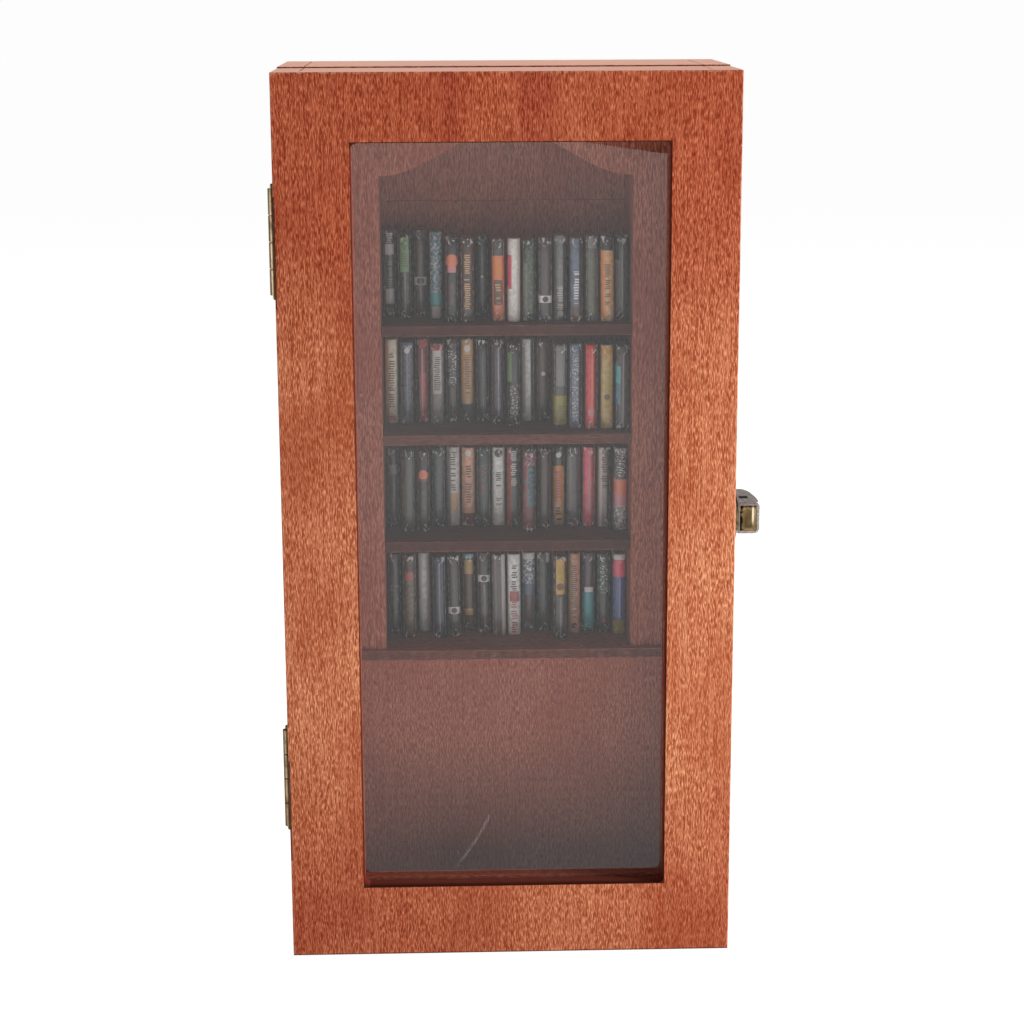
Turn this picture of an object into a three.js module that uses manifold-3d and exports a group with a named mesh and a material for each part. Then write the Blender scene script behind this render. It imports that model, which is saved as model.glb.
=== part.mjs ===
// A glazed wooden display case that holds an arched miniature bookcase.
// Millimetres, +Z up. X = 0 is the middle of the width, Y = 0 the middle of the whole
// depth with the door towards -Y, and Z = 0 the surface that the case stands on.
import * as THREE from 'three';
import { mergeVertices } from 'three/addons/utils/BufferGeometryUtils.js';
import Module from 'manifold-3d';

const wasm = await Module();
wasm.setup();

// Whole case
const WIDTH = 125;
const HEIGHT = 250;
const DOOR_DEPTH = 28;
const BODY_DEPTH = 44.5;
const SEAM = 0.5; // between the closed door and the body
const BOARD = 7.5; // thickness of the outer boards
const BACK_BOARD = 3;
const DOOR_SHEET = 5.6; // thickness of the sheet that makes the door's front
const GLUE = 0.1; // between two boards that are glued together
const DOOR_LIFT = 0.4; // the door hangs clear of the table by this much

const HALF = WIDTH / 2;
const DEPTH = DOOR_DEPTH + SEAM + BODY_DEPTH;
const FRONT_Y = -DEPTH / 2;
const DOOR_BACK_Y = FRONT_Y + DOOR_DEPTH;
const BODY_FRONT_Y = DOOR_BACK_Y + SEAM;
const BACK_Y = DEPTH / 2;
const SEAM_Y = (DOOR_BACK_Y + BODY_FRONT_Y) / 2;
const INNER_X = HALF - BOARD - GLUE; // where the boards between the sides end
const FLOOR_Z = BOARD + GLUE; // inside height at the bottom board
const CEILING_Z = HEIGHT - BOARD - GLUE;

// Window in the door
const WINDOW_X = [-41.7, 43.6];
const WINDOW_Z = [21.1, 231];
const WINDOW_CORNER = 1.8;
const PANE = 2;
const PANE_LAP = 4; // how far the pane runs behind the front panel
const BEAD = [5, 4]; // width and depth of the strips that hold the pane

// Bookcase inside
const BOOKCASE_X = 0.5; // its middle
const OPENING_HALF = 35.7;
const FRAME_Y = [-5.5, -2.5]; // front and back of the arched face frame
const SHEET = 3; // thickness of the bookcase's sheets
const BOOKCASE_BACK_Y = 25.5;
const ARCH_SPRING_Z = 219.7;
const ARCH_RISE = 13;
const ARCH_STEPS = 28;
const LEDGE_TOP_Z = 82.4;
const LEDGE_NOSE = 2; // how far the ledge stands ahead of the frame
const SHELF_TOPS = [177.6, 146.1, 114.6];
const BACK_SEAM_Z = 210;

// Books: one list per row, each entry how far its spine stands behind the frame's front
const BOOK_DEPTH = 12;
const BOOK_HEIGHT = 24.6;
const BOOK_GAP = 0.25; // under the books and between two blocks of them
const BOOK_PITCH = (2 * OPENING_HALF) / 16;
const BLOCKS = [[0, 5], [5, 11], [11, 16]]; // books in each block, first to one past the last
const SPINES = [
  [18, 13, 18.5, 12.5, 6, 5, 15.5, 6.5, 4.5, 6, 4, 8, 4, 4, 4, 8.5],
  [17, 16, 18.5, 15.5, 18.5, 18.5, 17, 14.5, 10, 18.5, 18.5, 8, 6, 5, 5.5, 4],
  [18.5, 11, 11, 17.5, 18.5, 18.5, 17, 18.5, 16, 10, 13.5, 18, 16, 15.5, 14.5, 10],
  [15, 11, 17.5, 10, 11, 18.5, 15, 12, 12.5, 18.5, 17, 8, 13.5, 15.5, 14.5, 12],
];

// Hinges, on the left at the seam
const HINGE_X = -(HALF + 2.05);
const HINGE_Z = [202, 44.3];
const HINGE_LENGTH = 30;
const KNUCKLES = 4;
const KNUCKLE_GAP = 0.25;
const BARREL_R = 1.4;
const HINGE_BORE_R = 0.8;
const HINGE_PIN_R = 0.7;
const PIN_END = 1.2; // how far the pin's end stands out of the barrel
const LEAF = 0.8; // thickness
const LEAF_WIDTH = 10; // from the hinge axis
const LEAF_CORNER = 1.5;
const LEAF_NOTCH = 2.5; // clear of the axis, at the other leaf's knuckles
const LEAF_SCREW_Y = 6.4;
const LEAF_SCREW_Z = 9;

// Catch, on the right at the seam
const CATCH_Z = 124;
const CATCH_X = HALF + 3.7; // axis of the swinging flap
const CATCH_Y = -3;
const FLAP_WIDTH = 8.4;
const FLAP_BARREL = 5.6; // length; the plate's ears stand at its two ends
const FLAP_NOTCH_Y = -2.3; // the flap is only as wide as its barrel behind this
const FLAP_THICKNESS = 1.2;
const FLAP_BARREL_R = 1.6;
const FLAP_BORE_R = 0.75;
const FLAP_PIN_R = 0.65;
const FLAP_REACH = 4.8; // how far the flap stands outside its axis
const FLAP_CORNER = 1.6;
const CATCH_EAR = 1.2; // width of each ear that holds the flap's pin
const EAR_GAP = 0.2;
const PLATE_HEIGHT = 24;
const PLATE_SHEET = 0.7;
const PLATE_BULGE = 1.7;
const PLATE_Y = [CATCH_Y - 3, CATCH_Y + 10];
const KEEPER_Y = [-22.5, -10];
const KEEPER_HOOK_Y = -12.3;
const PLATE_SCREW_Z = 9.7;

// Screws: head radius, head height, shank radius, shank length
const LEAF_SCREW = [1.7, 0.75, 0.7, 6];
const PLATE_SCREW = [1.2, 0.55, 0.55, 6];
const CLEARANCE = 0.12;
const HOLE_MOUTH = 3; // how far a hole's cutter stands out of the surface
const ROUND = 24; // sides of a pin or barrel
const SCREW_SIDES = 16;

const STAIN = 0xb8643f;
const DARK_STAIN = 0x7a3b28;
const material = (color, roughness, metalness) =>
  new THREE.MeshStandardMaterial({ color, roughness, metalness });
const caseWood = () => material(STAIN, 0.55, 0);
const innerWood = () => material(DARK_STAIN, 0.6, 0);
const agedBrass = () => material(0x8c7a55, 0.38, 1);
const paperBoard = (tint) => material(tint, 0.5, 0);

// Solids

function toSolid(geometry) {
  const bare = geometry.clone();
  bare.deleteAttribute('normal');
  bare.deleteAttribute('uv');
  const merged = mergeVertices(bare, 1e-4);
  return new wasm.Manifold(new wasm.Mesh({
    numProp: 3,
    vertProperties: new Float32Array(merged.attributes.position.array),
    triVerts: new Uint32Array(merged.index.array),
  }));
}

function toGeometry(solid) {
  const mesh = solid.getMesh();
  const geometry = new THREE.BufferGeometry();
  geometry.setAttribute('position', new THREE.BufferAttribute(mesh.vertProperties, 3));
  geometry.setIndex(new THREE.BufferAttribute(mesh.triVerts, 1));
  geometry.computeVertexNormals();
  return geometry;
}

function combine(base, added, cut = []) {
  let solid = toSolid(base);
  for (const geometry of added) solid = solid.add(toSolid(geometry));
  for (const geometry of cut) solid = solid.subtract(toSolid(geometry));
  return toGeometry(solid);
}

// A box between the given limits.
function block([x0, x1], [y0, y1], [z0, z1]) {
  const geometry = new THREE.BoxGeometry(x1 - x0, y1 - y0, z1 - z0);
  return geometry.translate((x0 + x1) / 2, (y0 + y1) / 2, (z0 + z1) / 2);
}

// A round bar along Z between two heights.
function barZ(radius, z0, z1, sides = ROUND) {
  const geometry = new THREE.CylinderGeometry(radius, radius, z1 - z0, sides);
  return geometry.rotateX(Math.PI / 2).translate(0, 0, (z0 + z1) / 2);
}

// An outline in X and Z, made thick along Y from y0 to y1.
function slabXZ(shape, [y0, y1], curveSegments = 6) {
  const geometry = new THREE.ExtrudeGeometry(shape, {
    depth: y1 - y0, bevelEnabled: false, curveSegments,
  });
  return geometry.rotateX(Math.PI / 2).translate(0, y1, 0);
}

// An outline in X and Y, made thick along Z from z0 to z1.
function slabXY(shape, [z0, z1], curveSegments = 6) {
  const geometry = new THREE.ExtrudeGeometry(shape, {
    depth: z1 - z0, bevelEnabled: false, curveSegments,
  });
  return geometry.translate(0, 0, z0);
}

function roundedOutline(target, [x0, x1], [z0, z1], radius) {
  target.moveTo(x0 + radius, z0);
  target.lineTo(x1 - radius, z0);
  target.absarc(x1 - radius, z0 + radius, radius, -Math.PI / 2, 0);
  target.lineTo(x1, z1 - radius);
  target.absarc(x1 - radius, z1 - radius, radius, 0, Math.PI / 2);
  target.lineTo(x0 + radius, z1);
  target.absarc(x0 + radius, z1 - radius, radius, Math.PI / 2, Math.PI);
  target.lineTo(x0, z0 + radius);
  target.absarc(x0 + radius, z0 + radius, radius, Math.PI, 1.5 * Math.PI);
  return target;
}

const part = new THREE.Group();

function place(name, geometry, finish, parent = part) {
  const mesh = new THREE.Mesh(geometry, finish);
  mesh.name = name;
  parent.add(mesh);
  return mesh;
}

// A screw that points along -X: its head's back is at x = 0 and its tip at x = -length.
function screwGeometry([headR, headHeight, shankR, shankLength], sunk) {
  const crown = headHeight * (sunk ? 0.35 : 1);
  const neck = sunk ? -headHeight : 0;
  const profile = [
    [0, -shankLength], [shankR * 0.3, -shankLength], [shankR, -shankLength + 1.2],
    [shankR, neck], [headR, 0], [headR * 0.8, crown * 0.7], [headR * 0.45, crown * 0.95], [0, crown],
  ];
  const points = profile.map(([radius, along]) => new THREE.Vector2(radius, along));
  return new THREE.LatheGeometry(points, SCREW_SIDES).rotateZ(-Math.PI / 2);
}

// The hole that such a screw needs, a little larger all round.
function screwHole([headR, headHeight, shankR, shankLength], sunk) {
  const wide = headR + CLEARANCE;
  const narrow = shankR + CLEARANCE;
  const tip = -shankLength - CLEARANCE;
  const mouth = sunk
    ? [[narrow, -headHeight - CLEARANCE], [wide, 0], [wide, HOLE_MOUTH]]
    : [[narrow, HOLE_MOUTH]];
  const profile = [[0, tip], [narrow, tip], ...mouth, [0, HOLE_MOUTH]];
  const points = profile.map(([radius, along]) => new THREE.Vector2(radius, along));
  return new THREE.LatheGeometry(points, SCREW_SIDES).rotateZ(-Math.PI / 2);
}

// Where the screws go: side is -1 on the left and 1 on the right, and surface is the
// distance from the board's face to the screw head's back. A catch screw's head stands
// clear of the plate's bulge under it.
const LEAF_SURFACE = CLEARANCE + LEAF;
const PLATE_SURFACE = CLEARANCE + PLATE_SHEET + 0.38;
const leafScrews = (toward) => HINGE_Z.flatMap((centre) => [1, -1].map((end) => ({
  side: -1, y: SEAM_Y + toward * LEAF_SCREW_Y, z: centre + end * LEAF_SCREW_Z,
})));
const plateScrews = ([y0, y1]) => [1, -1].map((end) => ({
  side: 1, y: (y0 + y1) / 2 + 1, z: CATCH_Z + end * PLATE_SCREW_Z,
}));

function onSide(geometry, { side, y, z }, surface) {
  if (side < 0) geometry.rotateZ(Math.PI);
  return geometry.translate(side * (HALF + surface), y, z);
}

const pilots = (places, screw, surface, sunk) =>
  places.map((at) => onSide(screwHole(screw, sunk), at, surface));

const leafPilots = (toward) => pilots(leafScrews(toward), LEAF_SCREW, LEAF_SURFACE, true);
const platePilots = (range) => pilots(plateScrews(range), PLATE_SCREW, PLATE_SURFACE, false);

// Case body

function addBody() {
  const y = [BODY_FRONT_Y, BACK_Y];
  const tall = [0, HEIGHT];
  const across = [-INNER_X, INNER_X];
  const left = block([-HALF, -HALF + BOARD], y, tall);
  const right = block([HALF - BOARD, HALF], y, tall);
  place('case_left_side', combine(left, [], leafPilots(1)), caseWood());
  place('case_right_side', combine(right, [], platePilots(PLATE_Y)), caseWood());
  place('case_top', block(across, y, [HEIGHT - BOARD, HEIGHT]), caseWood());
  place('case_bottom', block(across, y, [0, BOARD]), caseWood());
  place('case_back', block(across, [BACK_Y - BACK_BOARD, BACK_Y], [FLOOR_Z, CEILING_Z]), caseWood());
}

// Bookcase

function archedFrame() {
  const outline = new THREE.Shape();
  const left = BOOKCASE_X - OPENING_HALF;
  const right = BOOKCASE_X + OPENING_HALF;
  const bottom = LEDGE_TOP_Z + GLUE;
  outline.moveTo(-INNER_X, bottom);
  outline.lineTo(left, bottom);
  for (let i = 0; i <= ARCH_STEPS; i += 1) {
    const t = (2 * i) / ARCH_STEPS - 1;
    const lift = (ARCH_RISE * (1 + Math.cos(Math.PI * t))) / 2;
    outline.lineTo(BOOKCASE_X + OPENING_HALF * t, ARCH_SPRING_Z + lift);
  }
  outline.lineTo(right, bottom);
  outline.lineTo(INNER_X, bottom);
  outline.lineTo(INNER_X, CEILING_Z);
  outline.lineTo(-INNER_X, CEILING_Z);
  return slabXZ(outline, FRAME_Y);
}

function addBookcase() {
  const left = BOOKCASE_X - OPENING_HALF;
  const right = BOOKCASE_X + OPENING_HALF;
  const behindFrame = FRAME_Y[1] + GLUE;
  const ledgeBottom = LEDGE_TOP_Z - SHEET;
  const backY = [BOOKCASE_BACK_Y + GLUE, BOOKCASE_BACK_Y + SHEET];
  const sideY = [behindFrame, BOOKCASE_BACK_Y];
  const sideZ = [LEDGE_TOP_Z + GLUE, CEILING_Z];
  const wide = [left - SHEET, right + SHEET];

  place('face_frame', archedFrame(), innerWood());
  place('lower_panel', block([-INNER_X, INNER_X], FRAME_Y, [FLOOR_Z, ledgeBottom - GLUE]), innerWood());
  place('base_ledge', block([-INNER_X, INNER_X], [FRAME_Y[0] - LEDGE_NOSE, BOOKCASE_BACK_Y],
    [ledgeBottom, LEDGE_TOP_Z]), innerWood());
  place('bookcase_left_side', block([left - SHEET, left], sideY, sideZ), innerWood());
  place('bookcase_right_side', block([right, right + SHEET], sideY, sideZ), innerWood());
  place('bookcase_back_lower', block(wide, backY, [FLOOR_Z, BACK_SEAM_Z]), innerWood());
  place('bookcase_back_upper', block(wide, backY, [BACK_SEAM_Z + GLUE, CEILING_Z]), innerWood());
  SHELF_TOPS.forEach((top, i) => {
    const x = [left + GLUE, right - GLUE];
    const y = [FRAME_Y[0], BOOKCASE_BACK_Y];
    place(`shelf_${i + 1}`, block(x, y, [top - SHEET, top]), innerWood());
  });
}

// Books. A block is one outline seen from above, stepped where the spines stand further
// forward or back.

function addBooks() {
  const tints = [0x3f4348, 0x6b4a3c, 0x4c4f45];
  const bottoms = [...SHELF_TOPS, LEDGE_TOP_Z];
  SPINES.forEach((spines, row) => BLOCKS.forEach(([first, last], index) => {
    const outline = new THREE.Shape();
    const start = BOOKCASE_X - OPENING_HALF;
    const x0 = start + first * BOOK_PITCH + BOOK_GAP;
    const x1 = start + last * BOOK_PITCH - BOOK_GAP;
    const deepest = Math.max(...spines.slice(first, last));
    outline.moveTo(x0, FRAME_Y[0] + deepest + BOOK_DEPTH);
    for (let book = first; book < last; book += 1) {
      const y = FRAME_Y[0] + spines[book];
      outline.lineTo(book === first ? x0 : start + book * BOOK_PITCH, y);
      outline.lineTo(book === last - 1 ? x1 : start + (book + 1) * BOOK_PITCH, y);
    }
    outline.lineTo(x1, FRAME_Y[0] + deepest + BOOK_DEPTH);
    const bottom = bottoms[row] + BOOK_GAP;
    const geometry = slabXY(outline, [bottom, bottom + BOOK_HEIGHT]);
    place(`books_row_${row + 1}_block_${index + 1}`, geometry, paperBoard(tints[index]));
  }));
}

// Door

function addDoor() {
  const z = [DOOR_LIFT, HEIGHT - DOOR_LIFT];
  const panelY = [FRONT_Y, FRONT_Y + DOOR_SHEET];
  const rimY = [panelY[1] + GLUE, DOOR_BACK_Y];
  const outline = new THREE.Shape();
  outline.moveTo(-HALF, z[0]);
  outline.lineTo(HALF, z[0]);
  outline.lineTo(HALF, z[1]);
  outline.lineTo(-HALF, z[1]);
  outline.holes.push(roundedOutline(new THREE.Path(), WINDOW_X, WINDOW_Z, WINDOW_CORNER));
  place('door_front_panel', slabXZ(outline, panelY), caseWood());

  const left = block([-HALF, -HALF + BOARD], rimY, z);
  const right = block([HALF - BOARD, HALF], rimY, z);
  place('door_left_rim', combine(left, [], leafPilots(-1)), caseWood());
  place('door_right_rim', combine(right, [], platePilots(KEEPER_Y)), caseWood());
  place('door_top_rim', block([-INNER_X, INNER_X], rimY, [z[1] - BOARD, z[1]]), caseWood());
  place('door_bottom_rim', block([-INNER_X, INNER_X], rimY, [z[0], z[0] + BOARD]), caseWood());
}

function addGlazing() {
  const paneY = [FRONT_Y + DOOR_SHEET + GLUE, FRONT_Y + DOOR_SHEET + GLUE + PANE];
  const paneX = [WINDOW_X[0] - PANE_LAP, WINDOW_X[1] + PANE_LAP];
  const paneZ = [WINDOW_Z[0] - PANE_LAP, WINDOW_Z[1] + PANE_LAP];
  place('window_pane', block(paneX, paneY, paneZ), material(0xdfe6e6, 0.05, 0));

  const [beadWidth, beadDepth] = BEAD;
  const beadY = [paneY[1] + GLUE, paneY[1] + GLUE + beadDepth];
  const outerX = [WINDOW_X[0] - beadWidth, WINDOW_X[1] + beadWidth];
  const lower = [WINDOW_Z[0] - beadWidth, WINDOW_Z[0]];
  const upper = [WINDOW_Z[1], WINDOW_Z[1] + beadWidth];
  const between = [WINDOW_Z[0] + GLUE, WINDOW_Z[1] - GLUE];
  place('pane_bead_bottom', block(outerX, beadY, lower), innerWood());
  place('pane_bead_top', block(outerX, beadY, upper), innerWood());
  place('pane_bead_left', block([outerX[0], WINDOW_X[0]], beadY, between), innerWood());
  place('pane_bead_right', block([WINDOW_X[1], outerX[1]], beadY, between), innerWood());
}

// Hinges. Each group's origin is the middle of its pin; toward is -1 for the leaf on the
// door and 1 for the leaf on the case.

function hingeLeaf(toward) {
  const face = HINGE_X + HALF; // the board's face is this far from the axis, towards +X
  const sheet = [-face - CLEARANCE - LEAF, -face - CLEARANCE];
  const half = HINGE_LENGTH / 2;
  const outline = roundedOutline(new THREE.Shape(), [LEAF_NOTCH - LEAF_CORNER * 2, LEAF_WIDTH],
    [-half, half], LEAF_CORNER);
  // The outline is drawn in Y and Z, so it is turned to face along X.
  const plate = slabXZ(outline, [0, LEAF]).rotateZ(Math.PI / 2).translate(sheet[1], 0, 0);
  const trim = block([sheet[0] - 1, sheet[1] + 1], [-LEAF_NOTCH, LEAF_NOTCH], [-half - 1, half + 1]);
  const step = HINGE_LENGTH / KNUCKLES;
  const knuckles = [];
  const first = toward < 0 ? 0 : 1;
  for (let i = first; i < KNUCKLES; i += 2) {
    const top = half - i * step;
    const z = [top - step + KNUCKLE_GAP / 2, top - KNUCKLE_GAP / 2];
    knuckles.push(barZ(BARREL_R, z[0], z[1]));
    knuckles.push(block(sheet, [0, LEAF_NOTCH + LEAF_CORNER], z));
  }
  const bore = barZ(HINGE_BORE_R, -half - 1, half + 1);
  const trimmed = combine(plate, [], [trim]);
  const leaf = combine(trimmed, knuckles, [bore]);
  return toward < 0 ? leaf.scale(1, -1, 1) : leaf;
}

function flipped(geometry) {
  const index = geometry.index.array;
  for (let i = 0; i < index.length; i += 3) [index[i], index[i + 1]] = [index[i + 1], index[i]];
  geometry.computeVertexNormals();
  return geometry;
}

function hingePin() {
  const half = HINGE_LENGTH / 2;
  const end = half + PIN_END;
  const points = [[0, -end], [0.5, -end], [HINGE_PIN_R, -end + 0.4], [HINGE_PIN_R, end - 0.4],
    [0.5, end], [0, end]].map(([radius, z]) => new THREE.Vector2(radius, z));
  return new THREE.LatheGeometry(points, ROUND).rotateX(Math.PI / 2);
}

function addHinges() {
  const names = ['upper', 'lower'];
  HINGE_Z.forEach((z, i) => {
    const hinge = new THREE.Group();
    hinge.position.set(HINGE_X, SEAM_Y, z);
    part.add(hinge);
    const holes = (toward) => [1, -1].map((end) => screwHole(LEAF_SCREW, true).rotateZ(Math.PI)
      .translate(-HINGE_X - HALF - LEAF_SURFACE, toward * LEAF_SCREW_Y, end * LEAF_SCREW_Z));
    const doorLeaf = flipped(hingeLeaf(-1));
    place(`${names[i]}_hinge_door_leaf`, combine(doorLeaf, [], holes(-1)), agedBrass(), hinge);
    place(`${names[i]}_hinge_case_leaf`, combine(hingeLeaf(1), [], holes(1)), agedBrass(), hinge);
    place(`${names[i]}_hinge_pin`, hingePin(), agedBrass(), hinge);
  });
  for (const [toward, owner] of [[-1, 'door'], [1, 'case']]) {
    leafScrews(toward).forEach((at, i) => {
      const name = `${names[i < 2 ? 0 : 1]}_hinge_${owner}_screw_${(i % 2) + 1}`;
      place(name, onSide(screwGeometry(LEAF_SCREW, true), at, LEAF_SURFACE), agedBrass());
    });
  }
}

// Catch. A plate is a thin strip pressed out into a low bulge at its middle.

function pressedPlate([y0, y1]) {
  const outline = new THREE.Shape();
  const half = PLATE_HEIGHT / 2;
  const steps = 16;
  const lift = (z) => (PLATE_BULGE * (1 + Math.cos((Math.PI * z) / half))) / 2;
  const face = HALF + CLEARANCE;
  const heights = Array.from({ length: steps + 1 }, (_, i) => -half + (i * PLATE_HEIGHT) / steps);
  heights.forEach((z, i) => {
    if (i === 0) outline.moveTo(face, CATCH_Z + z);
    else outline.lineTo(face + lift(z), CATCH_Z + z);
  });
  heights.reverse().forEach((z) => outline.lineTo(face + PLATE_SHEET + lift(z), CATCH_Z + z));
  return slabXZ(outline, [y0, y1]);
}

function addPlates() {
  const edge = FLAP_BARREL / 2 + EAR_GAP;
  const earHeights = [
    [CATCH_Z + edge, CATCH_Z + edge + CATCH_EAR],
    [CATCH_Z - edge - CATCH_EAR, CATCH_Z - edge],
  ];
  const ears = earHeights.flatMap(([z0, z1]) => [
    barZ(FLAP_BARREL_R, z0, z1).translate(CATCH_X, CATCH_Y, 0),
    block([HALF + 1.1, CATCH_X], [CATCH_Y - 1.3, CATCH_Y + 1.3], [z0, z1]),
  ]);
  const room = barZ(FLAP_BARREL_R + 0.5, CATCH_Z - edge, CATCH_Z + edge).translate(CATCH_X, CATCH_Y, 0);
  const bore = barZ(FLAP_BORE_R, CATCH_Z - 12, CATCH_Z + 12).translate(CATCH_X, CATCH_Y, 0);
  const holes = pilots(plateScrews(PLATE_Y), PLATE_SCREW, PLATE_SURFACE, false);
  place('catch_plate', combine(pressedPlate(PLATE_Y), ears, [room, bore, ...holes]), agedBrass());

  const hook = new THREE.CylinderGeometry(1.3, 1.6, 2.2, SCREW_SIDES).rotateZ(-Math.PI / 2);
  hook.translate(HALF + 2.7, KEEPER_HOOK_Y, CATCH_Z);
  const keeperHoles = pilots(plateScrews(KEEPER_Y), PLATE_SCREW, PLATE_SURFACE, false);
  place('keeper_plate', combine(pressedPlate(KEEPER_Y), [hook], keeperHoles), agedBrass());
}

// The flap seen from above, about its axis: out and forward past the keeper's hook, then
// round a bend and in again ahead of it.
function flapGeometry() {
  const path = new THREE.SplineCurve([
    [1.0, 0.2], [2.0, -2.1], [3.3, -4.3], [4.05, -7.0], [4.2, -10.0], [4.2, -13.6], [3.7, -15.4],
    [2.0, -16.2], [-0.2, -16.2],
  ].map(([x, y]) => new THREE.Vector2(x, y)));
  const steps = 30;
  const sideAt = (i, offset) => {
    const at = path.getPoint(i / steps);
    const along = path.getTangent(i / steps);
    return new THREE.Vector2(at.x - along.y * offset, at.y + along.x * offset);
  };
  const half = FLAP_THICKNESS / 2;
  const outline = new THREE.Shape();
  for (let i = 0; i <= steps; i += 1) {
    const point = sideAt(i, -half);
    if (i === 0) outline.moveTo(point.x, point.y);
    else outline.lineTo(point.x, point.y);
  }
  for (let i = steps; i >= 0; i -= 1) {
    const point = sideAt(i, half);
    outline.lineTo(point.x, point.y);
  }
  const z = [-FLAP_WIDTH / 2, FLAP_WIDTH / 2];
  const strip = slabXY(outline, z);
  const barrel = barZ(FLAP_BARREL_R, -FLAP_BARREL / 2, FLAP_BARREL / 2);
  const bore = barZ(FLAP_BORE_R, z[0] - 1, z[1] + 1);
  const notchAt = (middle) => block([-4, FLAP_REACH + 1], [FLAP_NOTCH_Y, 4],
    [middle - FLAP_WIDTH / 4, middle + FLAP_WIDTH / 4]);
  const notchMiddle = FLAP_BARREL / 2 + FLAP_WIDTH / 4;
  const notches = [notchAt(-notchMiddle), notchAt(notchMiddle)];
  const trim = roundedOutline(new THREE.Shape(), [-4, FLAP_REACH], z, FLAP_CORNER);
  const envelope = toSolid(slabXZ(trim, [-20, 4]));
  const cut = combine(combine(strip, [], notches), [barrel], [bore]);
  return toGeometry(toSolid(cut).intersect(envelope));
}

function addCatch() {
  addPlates();
  const axis = new THREE.Group();
  axis.position.set(CATCH_X, CATCH_Y, CATCH_Z);
  part.add(axis);
  place('catch_flap', flapGeometry(), agedBrass(), axis);
  const pinHalf = FLAP_BARREL / 2 + EAR_GAP + CATCH_EAR + 0.3;
  place('catch_pin', barZ(FLAP_PIN_R, -pinHalf, pinHalf), agedBrass(), axis);
  for (const [owner, range] of [['catch', PLATE_Y], ['keeper', KEEPER_Y]]) {
    plateScrews(range).forEach((at, i) => {
      const screw = onSide(screwGeometry(PLATE_SCREW, false), at, PLATE_SURFACE);
      place(`${owner}_screw_${i + 1}`, screw, agedBrass());
    });
  }
}

addBody();
addBookcase();
addBooks();
addDoor();
addGlazing();
addHinges();
addCatch();

export default part;
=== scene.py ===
"""Looks of a glazed wooden display case that holds an arched miniature bookcase.

Metres, +Z up. The case stands on Z = 0 with its door towards -Y. Boards, hinges and the
catch are the frame's own nodes with better surfaces; the books are made here one by one.
"""

import math
import random

import bmesh
import bpy
from mathutils import Matrix, Vector


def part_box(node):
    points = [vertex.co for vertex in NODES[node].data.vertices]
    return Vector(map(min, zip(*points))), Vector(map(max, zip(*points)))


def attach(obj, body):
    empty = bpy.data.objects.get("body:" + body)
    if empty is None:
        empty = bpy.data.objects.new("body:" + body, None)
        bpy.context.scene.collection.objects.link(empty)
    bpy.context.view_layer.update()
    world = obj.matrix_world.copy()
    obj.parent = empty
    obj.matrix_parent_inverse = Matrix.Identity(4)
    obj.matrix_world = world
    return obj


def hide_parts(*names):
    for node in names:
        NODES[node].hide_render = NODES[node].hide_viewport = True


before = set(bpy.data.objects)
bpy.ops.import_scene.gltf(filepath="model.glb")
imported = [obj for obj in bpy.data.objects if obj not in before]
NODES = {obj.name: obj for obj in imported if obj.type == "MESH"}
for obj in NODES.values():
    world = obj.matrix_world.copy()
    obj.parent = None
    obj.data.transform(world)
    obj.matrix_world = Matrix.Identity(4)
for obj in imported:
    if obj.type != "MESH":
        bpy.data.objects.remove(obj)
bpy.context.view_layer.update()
MM = 0.001

# Camera, as the case is seen: a little from the left and from above.
CAMERA_AT = (-17.5 * MM, -644.7 * MM, 272.3 * MM)
CAMERA_YAW = -1.72
CAMERA_PITCH = 13.12
CAMERA_ROLL = -0.25
CAMERA_LENS = 79.9

# Light: a glowing white table below, and little from above the horizon.
SKY_LOW = 1.1
SKY_HIGH = 0.12
SKY_BAND = 0.11
FLOOR_SIZE = 120
FLOOR_GLOW = 0.95
FLOOR_GLOW_FAR = 1.2
FLOOR_GLOW_BAND = (-0.8, -0.22)  # the Y where the glow is at its far and at its near strength
FLOOR_WHITE = 0.25
FAR_EDGE = [(0.336, -3.139, 0.001), (0.16, -3.6, 0.001), (0.6, -4.2, 0.001), (0.9, -3.0, 0.001)]
NET_X = 0.11
NET_Y = (-0.042, 0.1)
NET_Z = (0.001, 0.3)
NET_PASSES = 0.3

# Each light: its name, where it is, what it points at, its width and height, its power.
LIGHTS = [
    ("key_right", (0.5, -0.165, 0.115), (0.02, -0.037, 0.12), (0.16, 0.2), 3.3),
    ("overhead", (0.0, 0.35, 1.1), (0, 0, 0.25), (0.8, 0.6), 10.0),
    ("glint_left", (-0.34, -0.9, 0.42), (0, 0, 0.12), (0.05, 0.05), 0.15),
    ("glint_right", (0.3, -0.9, 0.5), (0, 0, 0.12), (0.05, 0.05), 0.15),
]

# How far the sharp edges of the frame's nodes are rounded.
BOARD_EDGE = 0.2 * MM
PANEL_EDGE = 0.3 * MM
SHEET_EDGE = 0.15 * MM
METAL_EDGE = 0.08 * MM

# Wood tones. The edge tone is where the outside is rubbed.
CASE_TONES = {"dark": "964425", "mid": "c4704a", "light": "f4ae82", "red": "a84a2a", "edge": "e0a88a"}
INNER_TONES = {"dark": "884638", "mid": "b2624c", "light": "c88670", "red": "9c4c3a"}
# The shelves: darker than the inside's wood, as painted shade on their tops.
SHADED_SHELF_TONES = {"dark": "58302a", "mid": "7c4a3e", "light": "94604e", "red": "6c3c30"}
BEAD_TONES = {"dark": "a4604e", "mid": "c4745e", "light": "d88a74", "red": "b06450"}
# Multiplied into the outside: painted shade towards its top, foot and left, and patches of deeper stain.
STAIN_AND_SHADE_TONE = "d6ada6"
STAIN_RUN = "e6ccd0"
# Mixed onto faces that point up, making them paler.
PALE_UPWARD_FACES = "f0c4b0"
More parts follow.
